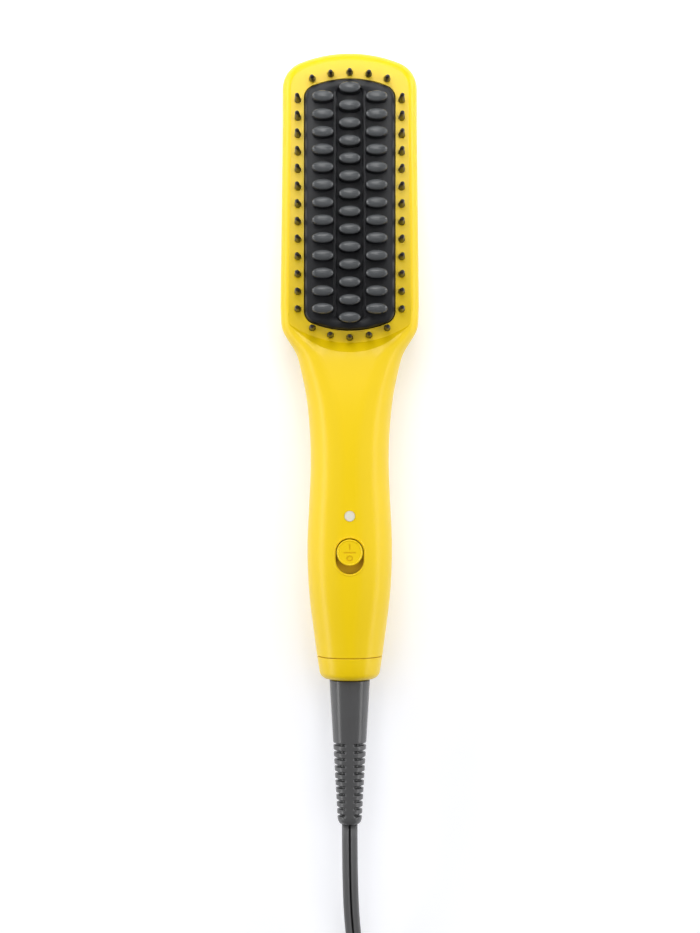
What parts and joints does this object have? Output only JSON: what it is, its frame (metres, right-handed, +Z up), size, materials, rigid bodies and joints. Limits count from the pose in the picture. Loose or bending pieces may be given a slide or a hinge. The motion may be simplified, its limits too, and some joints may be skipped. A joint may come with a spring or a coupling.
{
  "type": "hair straightening brush",
  "caption": "Yellow hair straightening brush with a flat-faced head, a dark heated comb plate inside a ring of bristles, a slide switch and a swivelling mains cord.",
  "frame": {"origin": "on the floor, under the middle of the brush from its crown to the tip of its strain relief", "axes": "+Y along the brush towards the head, +Z up through the bristles, +X across to the right"},
  "size_m": [0.0579, 0.577, 0.0365],
  "materials": {
    "yellow_plastic": "gloss moulded",
    "plate_coating": "satin ceramic coating",
    "pad_plastic": "satin moulded",
    "bristle_plastic": "satin moulded",
    "dark_plastic": "moulded",
    "heater_case": "plain",
    "amber_film": "smooth film",
    "steel": "plain",
    "glass_bead": "clear",
    "silicone": "smooth",
    "board_laminate": "solder mask",
    "capacitor_case": "moulded",
    "white_lens": "milky",
    "grey_rubber": "fine satin",
    "tie_plastic": "smooth",
    "brass": "plain"
  },
  "bodies": {
    "housing": {"front_shell": "yellow_plastic", "rear_shell": "yellow_plastic", "end_cap": "yellow_plastic", "heater_plate": "plate_coating", "pad_tips_left": "pad_plastic", "pad_tips_centre": "pad_plastic", "pad_tips_right": "pad_plastic", "bristle_frame": "bristle_plastic", "bristles_left": "bristle_plastic", "bristles_right": "bristle_plastic", "bristles_crown": "bristle_plastic", "bristles_step": "bristle_plastic", "plate_carrier": "dark_plastic", "switch_body": "dark_plastic", "power_triac": "dark_plastic", "control_chip": "dark_plastic", "swivel_retainer": "dark_plastic", "contact_holder": "dark_plastic", "heating_elements": "heater_case", "heat_shield": "heater_case", "thermal_fuse": "heater_case", "insulation_sheet": "amber_film", "heater_clamp": "steel", "clamp_screws": "steel", "board_screws": "steel", "thermistor": "glass_bead", "heater_leads": "silicone", "control_board": "board_laminate", "supply_capacitor": "capacitor_case", "indicator_led": "white_lens", "led_lens": "white_lens", "cord": "grey_rubber", "cord_hank": "grey_rubber", "cord_tail": "grey_rubber", "plug_body": "grey_rubber", "cord_tie": "tie_plastic", "contact_springs": "brass", "plug_blades": "brass"},
    "slider": {"slide_button": "yellow_plastic", "switch_lever": "dark_plastic"},
    "swivel": {"strain_relief": "grey_rubber", "swivel_rotor": "dark_plastic", "slip_rings": "brass"}
  },
  "joints": [
    {"name": "power_slide", "type": "slide", "parent": "housing", "child": "slider", "axis": [0, -1, 0], "range_m": [0, 0.0029]},
    {"name": "cord_swivel", "type": "hinge", "parent": "housing", "child": "swivel", "pos_m": [0, -0.09, 0.0145], "axis": [0, 1, 0], "continuous": true}
  ]
}
